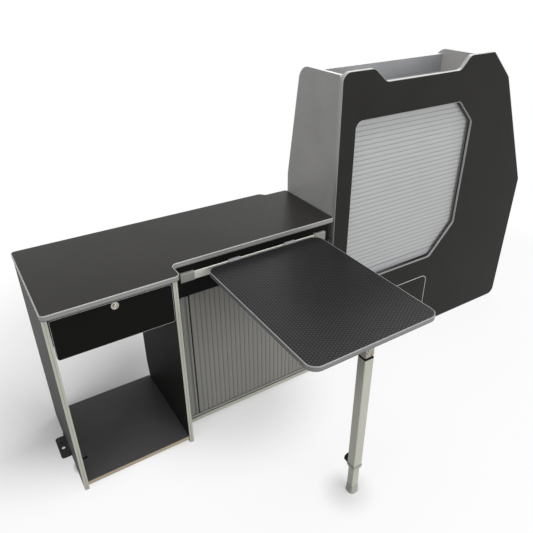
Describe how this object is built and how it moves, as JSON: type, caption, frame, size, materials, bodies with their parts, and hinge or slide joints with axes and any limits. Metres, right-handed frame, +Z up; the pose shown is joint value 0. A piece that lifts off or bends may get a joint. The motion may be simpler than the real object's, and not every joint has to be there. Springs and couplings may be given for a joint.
{
  "type": "camper kitchen unit with hook-on table",
  "caption": "Camper kitchen cabinet with drawer, sliding shutter, hook-on table on a folding telescopic leg, and a tall cupboard with a lifting shutter and flap.",
  "frame": {"origin": "centre of the unit's plan, at floor level", "axes": "+X along the unit towards the tall cupboard, +Y to the rear, +Z up"},
  "size_m": [2.1428, 0.9372, 1.197],
  "materials": {
    "worktop_laminate": "matt dark laminate",
    "table_laminate": "woven-look laminate",
    "silver_edging": "satin edging strip",
    "pale_edging": "matt edge band",
    "carcass_board": "matt laminate",
    "front_board": "matt dark laminate",
    "drawer_board": "plywood",
    "zinc_steel": "zinc plated",
    "nickel": "satin nickel",
    "black_steel": "black powder coat",
    "rail_aluminium": "natural anodised",
    "grey_plastic": "moulded",
    "guide_plastic": "extruded",
    "low_shutter_grey": "extruded slats",
    "tall_shutter_grey": "extruded slats",
    "backing_sheet": "woven backing",
    "leg_aluminium": "satin anodised",
    "leg_bracket_steel": "zinc plated",
    "leg_plastic": "moulded",
    "black_plastic": "moulded"
  },
  "bodies": {
    "cabinet": {"worktop_board": "worktop_laminate", "worktop_edge_trim": "silver_edging", "left_side_panel": "carcass_board", "divider_panel": "carcass_board", "panel_edge_bands": "pale_edging", "base_board": "carcass_board", "floor_bracket": "black_steel", "carcass_screws": "zinc_steel", "drawer_runner_rails": "zinc_steel", "cupboard_floor": "carcass_board", "cupboard_fascia": "front_board", "cupboard_top_board": "carcass_board", "low_guide_bottom": "guide_plastic", "low_guide_top": "guide_plastic", "low_shutter_slats": "low_shutter_grey", "low_shutter_backing": "backing_sheet", "rail_profile": "rail_aluminium", "rail_end_caps": "grey_plastic", "tall_front_panel": "front_board", "tall_front_edging": "silver_edging", "window_edging": "silver_edging", "tall_left_panel": "carcass_board", "tall_right_panel": "carcass_board", "tall_floor_board": "carcass_board", "tall_shelf": "carcass_board", "tray_floor": "carcass_board", "tray_back": "carcass_board", "tall_shutter_guides": "guide_plastic", "tall_shutter_slats": "tall_shutter_grey", "tall_shutter_backing": "backing_sheet", "flap_hinge_fixed_leaves": "zinc_steel", "flap_hinge_pins": "zinc_steel", "flap_catch": "black_plastic"},
    "drawer": {"drawer_front": "front_board", "drawer_front_edging": "silver_edging", "drawer_sides": "drawer_board", "drawer_back": "drawer_board", "drawer_bottom": "drawer_board", "drawer_runner_slides": "zinc_steel", "lock_housing": "nickel"},
    "lock_button": {"lock_button": "nickel"},
    "lock_tongue": {"lock_tongue": "zinc_steel"},
    "low_shutter": {"low_shutter_handle": "low_shutter_grey"},
    "tall_shutter": {"tall_shutter_handle": "tall_shutter_grey"},
    "rail_liners": {"hook_liners": "grey_plastic"},
    "table": {"table_board": "table_laminate", "table_edge_trim": "silver_edging", "table_hooks": "grey_plastic", "table_screws": "zinc_steel", "leg_bracket": "leg_bracket_steel", "leg_pin": "zinc_steel"},
    "leg": {"leg_hinge_block": "leg_plastic", "leg_upper_tube": "leg_aluminium", "leg_collar": "leg_plastic"},
    "leg_lower": {"leg_lower_tube": "leg_aluminium", "leg_foot": "leg_plastic"},
    "clamp_knob": {"leg_clamp_knob": "black_plastic"},
    "flap": {"flap_panel": "front_board", "flap_edging": "silver_edging", "flap_hinge_moving_leaves": "zinc_steel"}
  },
  "joints": [
    {"name": "drawer_slide", "type": "slide", "parent": "cabinet", "child": "drawer", "axis": [0, -1, 0], "range_m": [0, 0.27]},
    {"name": "lock_button_pop", "type": "slide", "parent": "drawer", "child": "lock_button", "axis": [0, -1, 0], "range_m": [0, 0.01]},
    {"name": "lock_tongue_drop", "type": "slide", "parent": "drawer", "child": "lock_tongue", "axis": [0, 0, -1], "range_m": [0, 0.008]},
    {"name": "low_shutter_slide", "type": "slide", "parent": "cabinet", "child": "low_shutter", "axis": [1, 0, 0], "range_m": [0, 0.48], "deforming": ["low_shutter_slats", "low_shutter_backing"]},
    {"name": "tall_shutter_lift", "type": "slide", "parent": "cabinet", "child": "tall_shutter", "axis": [0, 0, 1], "range_m": [0, 0.6], "deforming": ["tall_shutter_slats", "tall_shutter_backing"]},
    {"name": "table_slide", "type": "slide", "parent": "cabinet", "child": "rail_liners", "axis": [1, 0, 0], "range_m": [-0.105, 0.08]},
    {"name": "table_tilt", "type": "hinge", "parent": "rail_liners", "child": "table", "pos_m": [-0.3005, 0.11323, 0.6537], "axis": [-1, 0, 0], "range_deg": [0, 35]},
    {"name": "leg_fold", "type": "hinge", "parent": "table", "child": "leg", "pos_m": [-0.2935, -0.41357, 0.6002], "axis": [1, 0, 0], "range_deg": [0, 50]},
    {"name": "leg_telescope", "type": "slide", "parent": "leg", "child": "leg_lower", "axis": [0, 0, 1], "range_m": [-0.03, 0.075]},
    {"name": "clamp_knob_turn", "type": "hinge", "parent": "leg", "child": "clamp_knob", "pos_m": [-0.2935, -0.39757, 0.125], "axis": [0, -1, 0], "range_deg": [0, 180]},
    {"name": "flap_hinge", "type": "hinge", "parent": "cabinet", "child": "flap", "pos_m": [0.3133, 0.11628, 0.059], "axis": [1, 0, 0], "range_deg": [0, 90]}
  ],
  "couplings": [
    {"joint": "lock_tongue_drop", "follows": "lock_button_pop", "ratio": 0.8}
  ]
}
